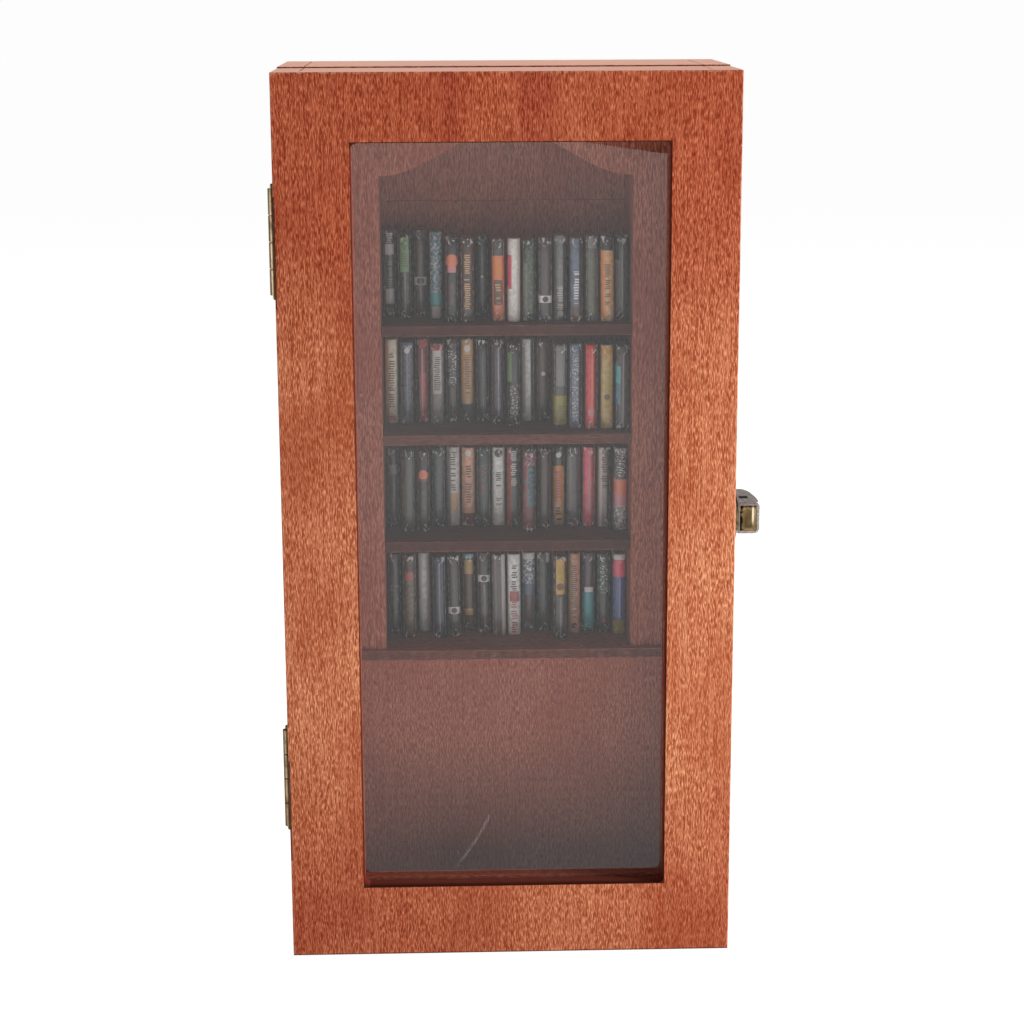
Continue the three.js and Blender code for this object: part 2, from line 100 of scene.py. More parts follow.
# Charred cut edges, the case's dark foot, and the painted shadow beside the hinges.
CHAR_AND_SHADOW = "3c150c"
SAWN = "752417"
FOOT_SHADE = "401610"

# Wood grain: noise cells per metre across the grain and along it.
FLECKS = (3700, 560)
PORES = (4100, 620)
STREAKS = (1500, 36)
BLOTCHES = (42, 24)
RAGGED = (1300, 500)

# How strongly the front edge of each sheet is scorched.
SCORCHED = {"shelf_1": 0.75, "shelf_2": 0.15, "shelf_3": 0.8, "base_ledge": 0.75}

# Stain that ran down the front: the middle and the half width of each band, in millimetres.
STAIN_BANDS = ((-15.5, 1), (7.5, 3))

# The clear pane.
PANE_LAP = 4 * MM  # how far the pane reaches behind the door's front
PANE_IOR = 1.67
PANE_TINT = (0.975, 0.98, 0.98, 1)
DUST_TINT = (0.8, 0.78, 0.76, 1)

# Brass: its patina, the grime in its grain, painted highlights and shade on the barrels and the flap, and
# pits on the flap.
BRASS_DARK = "6f5c3e"
BRASS_LIGHT = "a48c62"
BRASS_GRIME = "43341f"
BARREL_DULL = "4c3426"
# The barrels' painted highlight.
BARREL_HIGHLIGHT = "e6c8a0"
# Painted shade in the flap's middle.
FLAP_MIDDLE_SHADE = "4a3b24"
# The flap's painted glint.
FLAP_GLINT = "fff2d0"
# Tarnish in the flap's pits, and painted shade at the barrels' sides and in the catch's slot.
TARNISH_AND_SHADE = "1c120c"

# The bare edge of the catch's cover, and the cut edges of pages: dark, then light.
BARE_METAL = ("96928e", "bcb8b6")
PAGES = ("8f7d66", "c9b89a")

# The catch's cover, in millimetres. Its face is lofted through rings, each given as how far
# it stands out and how far it is drawn in; then the radii of the face's corners.
FACE_RINGS = ((-0.02, 0), (0.2, 0), (0.3, 0.15), (0.32, 0.7), (0.8, 1.15), (0.85, 1.5), (0.7, 1.9))
FACE_CORNERS = (0.3, 1.5, 1.1, 0.3)
FACE_SLOTS = (1, 1, 1, 0, 0, 0, 0)
# The outline of its top: how far each point is from the right edge and from the front.
TOP_OUTLINE = (
    (1.4, 0), (0.55, 0.5), (0.2, 2.0), (0.4, 5.0),
    (0.95, 8.0), (1.6, 10.8), (2.5, 12.8), (3.7, 13.8),
)
TOP_DEPTH = 13.8
TOP_RISE = 0.07  # how the top climbs towards the case

# Books. They lean and turn by a few tenths of a degree.
BOOKS_IN_ROW = 16
BOOK_SEED = 64
BOOK_DEPTH = 12 * MM
BOOK_THICKNESS = (0.8, 0.87)  # shares of the room each book has
BLOCK_STARTS = (5, 11)  # the first books of the second and third block of a row
TOP_GAP = 0.1 * MM  # how much lower a book is than it is listed
LEAN_STEP = 0.35
LEAN_MOST = 0.7
TURN_MOST = 1.0
COVER_GAINS = (1.2, 1.24, 1.25, 1.25)  # how pale the covers are, row by row

# Row by row from the top, how far each book's spine stands behind the front of the face
# frame, and how high the book is, in millimetres.
SPINES = [
    [18, 13, 18.5, 12.5, 6, 5, 15.5, 6.5, 4.5, 6, 4, 8, 4, 4, 4, 8.5],
    [17, 16, 18.5, 15.5, 18.5, 18.5, 17, 14.5, 10, 18.5, 18.5, 8, 6, 5, 5.5, 4],
    [18.5, 11, 11, 17.5, 18.5, 18.5, 17, 18.5, 16, 10, 13.5, 18, 16, 15.5, 14.5, 10],
    [15, 11, 17.5, 10, 11, 18.5, 15, 12, 12.5, 18.5, 17, 8, 13.5, 15.5, 14.5, 12],
]
BOOK_HEIGHTS = [
    [25.1, 24.2, 25.2, 25.2, 24.5, 24.2, 23.4, 23.6, 23.9, 23.6, 24.2, 24.4, 24, 24.5, 24.6, 24.3],
    [25, 24.2, 24.8, 23.8, 24.8, 24.9, 24.7, 25, 24.3, 24.5, 24.4, 24.6, 24.8, 24.8, 24.5, 24.7],
    [23.6, 24.7, 24.6, 24.1, 24, 23.8, 24.1, 23.7, 24.3, 24.9, 24.3, 23.8, 24, 24.2, 24.2, 25],
    [25, 25.4, 24.4, 25.1, 25, 23.7, 24.9, 25, 24.9, 23.8, 24.1, 25.3, 24.7, 24.4, 24.3, 24.6],
]

PALETTE = {
    "black": "2b2725", "charcoal": "45403f", "smoke": "585452", "grey": "8a8583",
    "pale": "d8d0cc", "white": "ece6e2", "cream": "e6d9c4", "beige": "d9cabb",
    "bark": "4a352c", "brown": "6b4a3a", "plum": "4d3b42", "wine": "7a3038",
    "brick": "b4504a", "red": "d93a3c", "pink": "e8586e", "rose": "d98a90",
    "salmon": "e8805a", "orange": "e88a35", "fawn": "dca080", "tan": "d9a873", "sand": "cda868",
    "gold": "d6a33c", "olive": "a89a3c", "moss": "66703f", "green": "6f9560",
    "pine": "33443c", "sea": "55b2b6", "teal": "4a8494", "steel": "69758a",
    "blue": "4a5f96", "navy": "2f3a50", "lilac": "a79ab8",
}

# Each book: the colour of its cover, then its printed marks. A mark is a kind, a low and a
# high limit as shares of the height, and a colour. A dot has its middle and radius instead.
BOOK_ROWS = [
    [
        ("smoke", [("label", .05, .1, "grey"), ("label", .15, .32, "white"), ("bars", .33, .72, "grey"),
                   ("label", .72, .84, "pale"), ("bars", .86, .97, "pale")]),
        ("black", [("rule", .02, .55, "grey"), ("label", .56, .97, "green"), ("bars", .62, .9, "moss")]),
        ("bark", [("band", .36, .45, "white"), ("dot", .405, .05, "black"), ("rule", .02, .34, "grey")]),
        ("teal", [("mottle", .3, .98, "pale"), ("band", .16, .3, "sea"), ("label", .0, .14, "pale")]),
        ("black", [("bars", .2, .45, "brown"), ("dot", .71, .09, "salmon"), ("label", .58, .64, "rose")]),
        ("bark", [("bars", .14, .8, "tan")]),
        ("pine", [("rule", .05, .95, "smoke"), ("dot", .5, .02, "pale")]),
        ("salmon", [("label", .2, .5, "brown"), ("bars", .22, .46, "sand"), ("label", .52, .76, "orange"),
                    ("band", .8, 1, "smoke")]),
        ("white", [("left", .4, .8, "pink"), ("right", .0, 1, "beige")]),
        ("pine", [("left", .0, .7, "grey"), ("mottle", .1, .9, "moss")]),
        ("charcoal", [("band", .23, .31, "white"), ("dot", .27, .04, "black"), ("rule", .34, .9, "brown")]),
        ("grey", [("bars", .12, .4, "beige"), ("right", .0, 1, "charcoal"), ("dot", .07, .04, "pale")]),
        ("steel", [("bars", .22, .6, "white"), ("label", .02, .18, "brown"), ("right", .0, 1, "charcoal")]),
        ("smoke", [("mottle", .1, .8, "moss"), ("label", .86, .97, "grey")]),
        ("tan", [("band", .83, 1, "black"), ("left", .02, .82, "orange"), ("bars", .2, .7, "brown")]),
        ("pine", [("rule", .04, .96, "grey"), ("left", .04, .7, "grey")]),
    ],
    [
        ("cream", [("bars", .2, .84, "brown"), ("label", .03, .09, "rose"), ("left", .0, 1, "tan")]),
        ("steel", [("mottle", .1, .95, "smoke"), ("rule", .05, .9, "grey"), ("dot", .9, .04, "white")]),
        ("brick", [("left", .0, 1, "black"), ("label", .6, .9, "wine"), ("rule", .08, .88, "rose")]),
        ("grey", [("label", .38, .92, "pale"), ("bars", .42, .84, "charcoal"), ("band", .92, .99, "brick")]),
        ("black", [("label", .74, 1, "plum"), ("chips", .45, .86, "white"), ("rule", .03, .4, "brown")]),
        ("charcoal", [("band", .22, .98, "tan"), ("bars", .3, .8, "brown"), ("dot", .88, .045, "white")]),
        ("black", [("left", .5, .9, "navy"), ("rule", .05, .85, "smoke")]),
        ("plum", [("rule", .1, .9, "lilac"), ("chips", .2, .5, "smoke")]),
        ("black", [("left", .55, .9, "green"), ("chips", .1, .5, "pale")]),
        ("white", [("right", .0, 1, "smoke"), ("left", .1, .9, "beige"), ("rule2", .0, 1, "white")]),
        ("bark", [("left", .0, .9, "brown"), ("dot", .58, .03, "pale")]),
        ("smoke", [("label", .5, .97, "grey"), ("band", .04, .38, "olive"), ("bars", .08, .34, "moss")]),
        ("steel", [("chips", .1, .9, "pale"), ("right", .0, 1, "charcoal")]),
        ("red", [("rule", .05, .95, "salmon"), ("dot", .2, .05, "rose"), ("right", .0, 1, "wine")]),
        ("sand", [("bars", .25, .7, "olive"), ("band", .9, 1, "gold"), ("dot", .38, .04, "brown")]),
        ("charcoal", [("left", .3, .74, "teal"), ("left", .55, .75, "sea"), ("rule", .02, .9, "grey")]),
    ],
    [
        ("plum", [("label", .68, .8, "grey"), ("rule", .05, .6, "smoke")]),
        ("pine", [("label", .12, .9, "smoke"), ("left", .2, .6, "moss")]),
        ("black", [("dot", .7, .07, "salmon"), ("bars", .24, .5, "smoke"), ("band", .62, .65, "brown")]),
        ("pine", [("mottle", .2, .95, "smoke")]),
        ("pale", [("bars", .45, .95, "moss"), ("label", .2, .42, "tan"), ("left", .0, 1, "grey")]),
        ("fawn", [("bars", .3, .8, "brown"), ("band", .02, .16, "wine"), ("dot", .93, .045, "white")]),
        ("pine", [("chips", .5, .8, "green"), ("chips", .4, .75, "brick"), ("rule", .05, .35, "smoke")]),
        ("white", [("bars", .5, .7, "black"), ("bars", .26, .36, "smoke"), ("dot", .93, .06, "charcoal")]),
        ("charcoal", [("left", .0, 1, "brick"), ("bars", .5, .96, "pale")]),
        ("charcoal", [("left", .04, .84, "brick"), ("mottle", .3, .86, "teal"), ("label", .06, .3, "wine"),
                      ("mottle", .8, .96, "rose")]),
        ("bark", [("rule", .1, .8, "plum")]),
        ("tan", [("band", .76, 1, "charcoal"), ("label", .3, .76, "orange"), ("bars", .34, .7, "brick"),
                 ("bars", .06, .28, "brown"), ("dot", .9, .04, "white")]),
        ("smoke", [("left", .2, .9, "grey"), ("rule", .1, .8, "plum")]),
        ("pink", [("rule", .04, .97, "rose"), ("bars", .2, .6, "rose"), ("right", .0, 1, "brick")]),
        ("grey", [("left", .0, 1, "beige"), ("bars", .5, .95, "brown"), ("right", .0, 1, "bark")]),
        ("grey", [("band", .62, .94, "smoke"), ("chips", .66, .98, "white"), ("band", .44, .62, "salmon"),
                  ("band", .3, .44, "rose"), ("mottle", .02, .3, "white")]),
    ],
    [
        ("charcoal", [("chips", .35, .6, "grey"), ("rule", .1, .9, "smoke")]),
        ("bark", [("label", .04, .8, "brown"), ("mottle", .05, .78, "moss"), ("dot", .74, .06, "brick")]),
        ("white", [("right", .0, 1, "beige"), ("left", .0, 1, "white")]),
        ("navy", [("rule", .08, .92, "grey")]),
        ("charcoal", [("band", .29, .37, "white"), ("dot", .33, .04, "black"), ("rule", .4, .85, "smoke")]),
        ("brown", [("band", .95, 1, "sea"), ("label", .74, .92, "sand"), ("label", .2, .28, "tan"),
                   ("rule", .3, .7, "smoke")]),
        ("charcoal", [("band", .64, .72, "white"), ("dot", .68, .04, "black"), ("rule", .02, .6, "grey")]),
        ("smoke", [("left", .0, 1, "grey"), ("right", .0, 1, "pale"), ("rule", .0, .95, "brown")]),
        ("white", [("bars", .55, .86, "charcoal"), ("bars", .02, .5, "brick"), ("label", .42, .54, "brick")]),
        ("steel", [("mottle", .6, .95, "white"), ("label", .1, .45, "brown"), ("band", .92, 1, "white")]),
        ("charcoal", [("rule", .05, .95, "smoke"), ("right", .88, 1, "pale")]),
        ("charcoal", [("label", .54, .96, "gold"), ("bars", .7, .9, "olive"), ("dot", .63, .05, "brown"),
                      ("rule", .02, .5, "grey")]),
        ("fawn", [("left", .1, .9, "tan"), ("bars", .2, .85, "brown"), ("dot", .1, .04, "brown")]),
        ("plum", [("band", .02, .5, "teal"), ("label", .05, .48, "sea"), ("label", .5, .56, "white")]),
        ("pine", [("chips", .5, .85, "pale"), ("rule", .1, .5, "brown"), ("dot", .15, .03, "brick")]),
        ("blue", [("band", .93, 1, "white"), ("band", .72, .93, "pink"), ("band", .0, .17, "olive"),
                  ("rule", .2, .7, "lilac")]),
    ],
]


def linear(code):
    """A hex colour as linear red, green, blue and alpha."""
    parts = [int(code[i:i + 2], 16) / 255 for i in (0, 2, 4)]
    return [c / 12.92 if c <= 0.04045 else ((c + 0.055) / 1.055) ** 2.4 for c in parts] + [1]


class Surface:
    """A material, with short calls for the nodes that this script uses."""

    def __init__(self, name):
        self.material = bpy.data.materials.new(name)
        self.material.use_nodes = True
        self.tree = self.material.node_tree
        self.tree.nodes.clear()
        self.output = self.node("ShaderNodeOutputMaterial")
        self.coordinates = self.node("ShaderNodeTexCoord")

    def node(self, kind, **settings):
        made = self.tree.nodes.new(kind)
        for key, value in settings.items():
            setattr(made, key, value)
        return made

    def put(self, value, socket):
        if isinstance(value, bpy.types.NodeSocket):
            self.tree.links.new(value, socket)
        else:
            socket.default_value = value

    def math(self, operation, a, b=0.0):
        made = self.node("ShaderNodeMath", operation=operation)
        self.put(a, made.inputs[0])
        self.put(b, made.inputs[1])
        return made.outputs[0]

    def mix(self, factor, a, b, blend="MIX"):
        made = self.node("ShaderNodeMix", data_type="RGBA", blend_type=blend)
        self.put(factor, made.inputs[0])
        self.put(a, made.inputs[6])
        self.put(b, made.inputs[7])
        return made.outputs[2]

    def step(self, value, low, high, to_low=0.0, to_high=1.0):
        """A smooth rise from to_low to to_high as value goes from low to high."""
        made = self.node("ShaderNodeMapRange", interpolation_type="SMOOTHSTEP")
        for i, v in enumerate((value, low, high, to_low, to_high)):
            self.put(v, made.inputs[i])
        return made.outputs[0]

    def place(self, scale=(1, 1, 1), offset=(0, 0, 0), source="Object"):
        made = self.node("ShaderNodeMapping")
        self.put(self.coordinates.outputs[source], made.inputs["Vector"])
        made.inputs["Scale"].default_value = scale
        made.inputs["Location"].default_value = offset
        return made.outputs[0]

    def split(self, vector):
        made = self.node("ShaderNodeSeparateXYZ")
        self.put(vector, made.inputs[0])
        return made.outputs

    def noise(self, vector, scale=1.0, detail=2.0, rough=0.5, warp=0.0):
        made = self.node("ShaderNodeTexNoise")
        self.put(vector, made.inputs["Vector"])
        made.inputs["Scale"].default_value = scale
        made.inputs["Detail"].default_value = detail
        made.inputs["Roughness"].default_value = rough
        made.inputs["Distortion"].default_value = warp
        return made.outputs["Fac"]

    def reach(self, a, b):
        """How far a point with these two coordinates is from the origin."""
        squares = [self.math("MULTIPLY", value, value) for value in (a, b)]
        return self.math("SQRT", self.math("ADD", *squares))

    def letters(self, u, v, half, size, seed):
        """Rows of plain strokes across a spine, each of its own width, with gaps."""
        row = self.math("ADD", self.math("DIVIDE", v, size), seed * 0.37)
        draw = self.node("ShaderNodeTexWhiteNoise", noise_dimensions="1D")
        self.put(self.math("ADD", self.math("FLOOR", row), seed * 31.0), draw.inputs["W"])
        wide, aside, kind = self.split(draw.outputs["Color"])
        shift = self.math("MULTIPLY", self.math("SUBTRACT", aside, 0.5), half * 0.2)
        away = self.math("ABSOLUTE", self.math("SUBTRACT", u, shift))
        reach = self.math("MULTIPLY", self.math("ADD", self.math("MULTIPLY", wide, 0.18), 0.3), half)
        block = self.math("LESS_THAN", away, reach)
        along = self.math("ABSOLUTE", self.math("SUBTRACT", self.math("FRACT", row), 0.5))
        block = self.math("MULTIPLY", block, self.math("LESS_THAN", along, 0.3))
        return self.math("MULTIPLY", block, self.math("GREATER_THAN", kind, 0.16))

    def bump(self, height, distance, strength=1.0):
        made = self.node("ShaderNodeBump")
        made.inputs["Distance"].default_value = distance
        made.inputs["Strength"].default_value = strength
        self.put(height, made.inputs["Height"])
        return made.outputs[0]

    def principled(self, colour, roughness, normal=None, **fixed):
        made = self.node("ShaderNodeBsdfPrincipled")
        self.put(colour, made.inputs["Base Color"])
        self.put(roughness, made.inputs["Roughness"])
        if normal is not None:
            self.put(normal, made.inputs["Normal"])
        for key, value in fixed.items():
            made.inputs[key.replace("_", " ")].default_value = value
        self.tree.links.new(made.outputs[0], self.output.inputs["Surface"])
        return made


# Wood

def nearest_edge(s, box):
    """How far a point on a box's skin is from the nearest edge of that box, in metres."""
    low, high = box
    x, y, z = s.split(s.coordinates.outputs["Object"])
    gaps = []
    for value, a, b in ((x, low.x, high.x), (y, low.y, high.y), (z, low.z, high.z)):
        gaps.append(s.math("MINIMUM", s.math("SUBTRACT", value, a), s.math("SUBTRACT", b, value)))
    total = s.math("ADD", s.math("ADD", gaps[0], gaps[1]), gaps[2])
    least = s.math("MINIMUM", s.math("MINIMUM", gaps[0], gaps[1]), gaps[2])
    most = s.math("MAXIMUM", s.math("MAXIMUM", gaps[0], gaps[1]), gaps[2])
    return s.math("SUBTRACT", s.math("SUBTRACT", total, least), most)


def stain_and_painted_shade(s):
    """Painted shade, darker towards the top, the foot and the left, with the stain deeper or lighter in
    patches.
    """
    x, _, z = s.split(s.coordinates.outputs["Object"])
    upper = s.step(z, 0.085, 0.25)
    lower = s.step(z, 0.0, 0.085, 0.68, 0.0)
    left = s.step(x, -0.0625, 0.0625, 0.12, -0.12)
    cloud = s.noise(s.place((28, 28, 16), (9, 9, 9)), detail=2)
    patchy = s.step(cloud, 0.3, 0.7, -0.2, 0.2)
    total = s.math("ADD", s.math("ADD", upper, lower), s.math("ADD", left, patchy))
    return s.math("MINIMUM", s.math("MAXIMUM", total, 0.0), 1.15)


def stain_runs(s):
    """Where the stain has run down the front from the top edge in soft upright bands."""
    x, _, z = s.split(s.coordinates.outputs["Object"])
    facing = s.step(s.split(s.coordinates.outputs["Normal"])[1], -0.95, -0.6, 1, 0)
    runs = 0.0
    for middle, half_width in STAIN_BANDS:
        band = band_mask(s, x, (middle - half_width) * MM, (middle + half_width) * MM, 3.5 * MM)
        runs = s.math("MAXIMUM", band, runs)
    return s.math("MULTIPLY", s.math("MULTIPLY", runs, facing), s.step(z, 0.2, 0.24, 0, 0.8))


def weathered_and_shaded(s, colour, box, ragged):
    """The case's outside: painted shade towards its top, foot and left, deeper stain in places, paler faces
    that point up, rubbed edges, a dark foot.
    """
    # Painted shade towards the top, foot and left, and patchy stain.
    colour = s.mix(stain_and_painted_shade(s), colour, linear(STAIN_AND_SHADE_TONE), "MULTIPLY")
    colour = s.mix(stain_runs(s), colour, linear(STAIN_RUN), "MULTIPLY")
    up = s.split(s.coordinates.outputs["Normal"])[2]
    # Faces that point up are made paler.
    colour = s.mix(s.step(up, 0.8, 0.97, 0, 0.62), colour, linear(PALE_UPWARD_FACES))
    reach = s.step(ragged, 0.35, 0.7, 0.05 * MM, 0.6 * MM)
    rubbed = s.math("LESS_THAN", nearest_edge(s, box), reach)
    colour = s.mix(s.math("MULTIPLY", rubbed, 0.35), colour, linear(CASE_TONES["edge"]))
    height = s.split(s.coordinates.outputs["Object"])[2]
    foot = s.step(height, box[0].z + 0.3 * MM, box[0].z + 0.6 * MM, 0.85, 0)
    return s.mix(foot, colour, linear(CHAR_AND_SHADOW))


def wood(name, tones, along, wear_box=None, darkening=None, shift=0.0):
    """Stained plywood with its grain along one axis. wear_box is the box whose edges are rubbed pale; it also
    brings the outside's painted shade and paler upward faces. The argument after it is a function that gives
    the mask and colour of darkened parts: charred edges, and painted shade and shadow on some parts."""
    s = Surface(name)
    lengthwise = "XYZ".index(along)

    def grain(cells, offset, **settings):
        scale = [cells[0]] * 3
        scale[lengthwise] = cells[1]
        return s.noise(s.place(scale, (offset, offset * 1.7 + shift, offset * 0.6)), **settings)

    flecks = grain(FLECKS, 0, detail=1.0)
    pores = grain(PORES, 3, detail=0.0)
    streaks = grain(STREAKS, 7, detail=3.0, rough=0.65, warp=0.2)
    blotches = grain(BLOTCHES, 11, detail=2.5)
    colour = s.mix(s.step(flecks, 0.34, 0.5, 0.1, 1), linear(tones["dark"]), linear(tones["mid"]))
    colour = s.mix(s.step(flecks, 0.5, 0.66), colour, linear(tones["light"]))
    colour = s.mix(s.step(streaks, 0.42, 0.62, 0, 0.36), colour, linear(tones["light"]))
    colour = s.mix(s.step(streaks, 0.3, 0.42, 0.3, 0), colour, linear(tones["dark"]))
    colour = s.mix(s.step(blotches, 0.4, 0.66, 0, 0.42), colour, linear(tones["red"]))
    colour = s.mix(s.step(pores, 0.58, 0.68, 0, 0.8), colour, linear(tones["dark"]))
    relief = 0.15
    if wear_box is not None:
        colour = weathered_and_shaded(s, colour, wear_box, grain(RAGGED, 17))
        relief = 0.35
    # Charred edges, painted shade on the lower panel, and the painted shadow beside the hinges.
    if darkening is not None:
        mask, darkness = darkening(s)
        colour = s.mix(mask, colour, darkness)
    roughness = s.step(flecks, 0.3, 0.7, 0.6, 0.42)
    height = s.math("ADD", flecks, s.math("MULTIPLY", pores, -0.8))
    s.principled(colour, roughness, s.bump(height, 0.08 * MM, relief), IOR=1.45, Specular_IOR_Level=0.1)
    return s.material


def band_mask(s, value, low, high, soft):
    """1 between low and high, falling to 0 over soft outside them."""
    rise = s.step(value, low - soft, low)
    fall = s.step(value, high, high + soft, 1, 0)
    return s.math("MULTIPLY", rise, fall)


def window_char_and_shadow(s):
    """The sawn inner faces of the window, a thin dark line around it on the front that also fills its rounded
    corners, and a painted shadow beside the hinges."""
    low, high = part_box("window_pane")
    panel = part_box("door_front_panel")[0]
    x, y, z = s.split(s.coordinates.outputs["Object"])
    behind = s.math("SUBTRACT", y, panel.y)
    reach = PANE_LAP - 0.2 * MM
    across = band_mask(s, x, low.x + reach, high.x - reach, 0.15 * MM)
    upright = band_mask(s, z, low.z + reach, high.z - reach, 0.15 * MM)
    darkness = s.step(behind, 0.5 * MM, 3.5 * MM, 0.97, 0.88)
    mask = s.math("MULTIPLY", s.math("MULTIPLY", across, upright), darkness)
    # A painted shadow along the panel's left edge beside each hinge.
    painted_hinge_shadow = s.step(x, panel.x + 0.35 * MM, panel.x + 0.6 * MM, 0.85, 0)
    painted_hinge_shadow = s.math("MULTIPLY", painted_hinge_shadow, s.step(behind, 0.2 * MM, 0.4 * MM, 1, 0))
    for name in ("upper_hinge_pin", "lower_hinge_pin"):
        low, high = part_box(name)
        beside = band_mask(s, z, low.z + 1.5 * MM, high.z - 1.5 * MM, 0.5 * MM)
        mask = s.math("MAXIMUM", mask, s.math("MULTIPLY", painted_hinge_shadow, beside))
    depth = s.step(behind, 0.3 * MM, 2.5 * MM)
    return mask, s.mix(depth, linear(CHAR_AND_SHADOW), linear(SAWN))


def shaded_foot(s):
    """Painted shade on the lower panel, deeper towards its foot."""
    z = s.split(s.coordinates.outputs["Object"])[2]
    return s.step(z, 0.034, 0.06, 0.28, 0), linear(FOOT_SHADE)


def front_char(box, strength):
    """The scorched front edge of a sheet, with its two arrises rubbed clean."""
    low, high = box

    def mask(s):
        _, y, z = s.split(s.coordinates.outputs["Object"])
        ragged = s.noise(s.place((700, 90, 90), (2, 2, 2)), detail=2)
        darkness = s.step(ragged, 0.3, 0.7, strength, strength * 0.75)
        front = s.step(y, low.y + 0.15 * MM, low.y + 0.5 * MM, darkness, 0)
        middle = band_mask(s, z, low.z + 0.4 * MM, high.z - 0.35 * MM, 0.2 * MM)
        return s.math("MULTIPLY", front, middle), linear(CHAR_AND_SHADOW)
    return mask


# Other surfaces

def barrel_highlight_and_shade(s, colour, patina, axis_x):
    """A hinge's barrel: a painted highlight along its front, weaker low down, and painted shade at its sides.
    """
    x, _, z = s.split(s.coordinates.outputs["Object"])
    offset = s.math("SUBTRACT", x, axis_x)
    colour = s.mix(0.55, colour, linear(BARREL_DULL))
    # The painted highlight, patchy, and weaker on the lower hinge.
    painted_highlight = band_mask(s, offset, -0.72 * MM, -0.54 * MM, 0.2 * MM)
    painted_highlight = s.math("MULTIPLY", painted_highlight, s.step(patina, 0.35, 0.6, 0.35, 1))
    painted_highlight = s.math("MULTIPLY", painted_highlight, s.step(z, 0.08, 0.16, 0.5, 1))
    colour = s.mix(painted_highlight, colour, linear(BARREL_HIGHLIGHT))
    # Painted shade at the barrel's outer side and where it meets the wood.
    outer = s.step(offset, -1.36 * MM, -1.08 * MM, 0.95, 0)
    inner = s.math("MULTIPLY", band_mask(s, offset, 0.0, 0.7 * MM, 0.3 * MM), 0.95)
    return s.mix(s.math("ADD", outer, inner), colour, linear(TARNISH_AND_SHADE))


def flap_shade_glint_and_pits(s, colour):
    """The catch's flap: painted shade in its middle, a painted glint near its outer end, pits at the inner.
    """
    low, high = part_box("catch_flap")
    x, _, z = s.split(s.coordinates.outputs["Object"])
    # Painted shade in the middle of the flap.
    shaded_middle = band_mask(s, x, high.x - 4.0 * MM, high.x - 2.0 * MM, 0.6 * MM)
    shaded_middle = s.math("MULTIPLY", shaded_middle, band_mask(s, z, low.z + 2.0 * MM, high.z - 1.8 * MM, 0.6 * MM))
    colour = s.mix(s.math("MULTIPLY", shaded_middle, 0.6), colour, linear(FLAP_MIDDLE_SHADE))
    # A painted glint near the outer end.
    glint = band_mask(s, x, high.x - 1.6 * MM, high.x - 1.4 * MM, 0.3 * MM)
    glint = s.math("MULTIPLY", glint, band_mask(s, z, low.z + 4.0 * MM, high.z - 1.6 * MM, 2.0 * MM))
    colour = s.mix(s.math("MULTIPLY", glint, 0.85), colour, linear(FLAP_GLINT))
    pits = s.noise(s.place((900, 900, 900), (8, 8, 8)), detail=1)
    inner_end = band_mask(s, x, high.x - 6.2 * MM, high.x - 4.5 * MM, 0.5 * MM)
    pitted = s.math("MULTIPLY", s.step(pits, 0.5, 0.56, 0.05, 0.9), inner_end)
    return s.mix(pitted, colour, linear(TARNISH_AND_SHADE))


def brass(name, axis_x=None):
    """Aged brass, for the hinges if axis_x gives the axis of their barrels, else for the
    catch."""
    s = Surface(name)
    patina = s.noise(s.place((500, 500, 260)), detail=3, rough=0.6, warp=0.3)
    grain = s.noise(s.place((5200, 5200, 2600), (4, 4, 4)), detail=1)
    colour = s.mix(s.step(patina, 0.3, 0.7), linear(BRASS_DARK), linear(BRASS_LIGHT))
    colour = s.mix(s.step(grain, 0.54, 0.72, 0, 0.5), colour, linear(BRASS_GRIME))
    if axis_x is not None:
        colour = barrel_highlight_and_shade(s, colour, patina, axis_x)
    else:
        colour = flap_shade_glint_and_pits(s, colour)
    roughness = s.step(patina, 0.3, 0.7, 0.42, 0.24)
    s.principled(colour, roughness, s.bump(grain, 0.02 * MM, 0.6), Metallic=1.0)
    return s.material


def scratch(s, box):
    """One faint slanting scratch near the bottom of the pane."""
    low, high = box
    x, _, z = s.split(s.coordinates.outputs["Object"])
    start = Vector((low.x + (high.x - low.x) * 0.33, low.z + 8 * MM))
    end = start + Vector((8.5, 13.5)) * MM
    along = (end - start).normalized()
    dx = s.math("SUBTRACT", x, start.x)
    dz = s.math("SUBTRACT", z, start.y)
    reach = s.math("ADD", s.math("MULTIPLY", dx, along.x), s.math("MULTIPLY", dz, along.y))
    aside = s.math("SUBTRACT", s.math("MULTIPLY", dx, along.y), s.math("MULTIPLY", dz, along.x))
    bend = s.math("MULTIPLY", s.math("SINE", s.math("MULTIPLY", reach, 190.0)), 0.5 * MM)
    line = s.step(s.math("ABSOLUTE", s.math("SUBTRACT", aside, bend)), 0.07 * MM, 0.16 * MM, 0.13, 0)
    return s.math("MULTIPLY", line, band_mask(s, reach, 0, (end - start).length, 2 * MM))


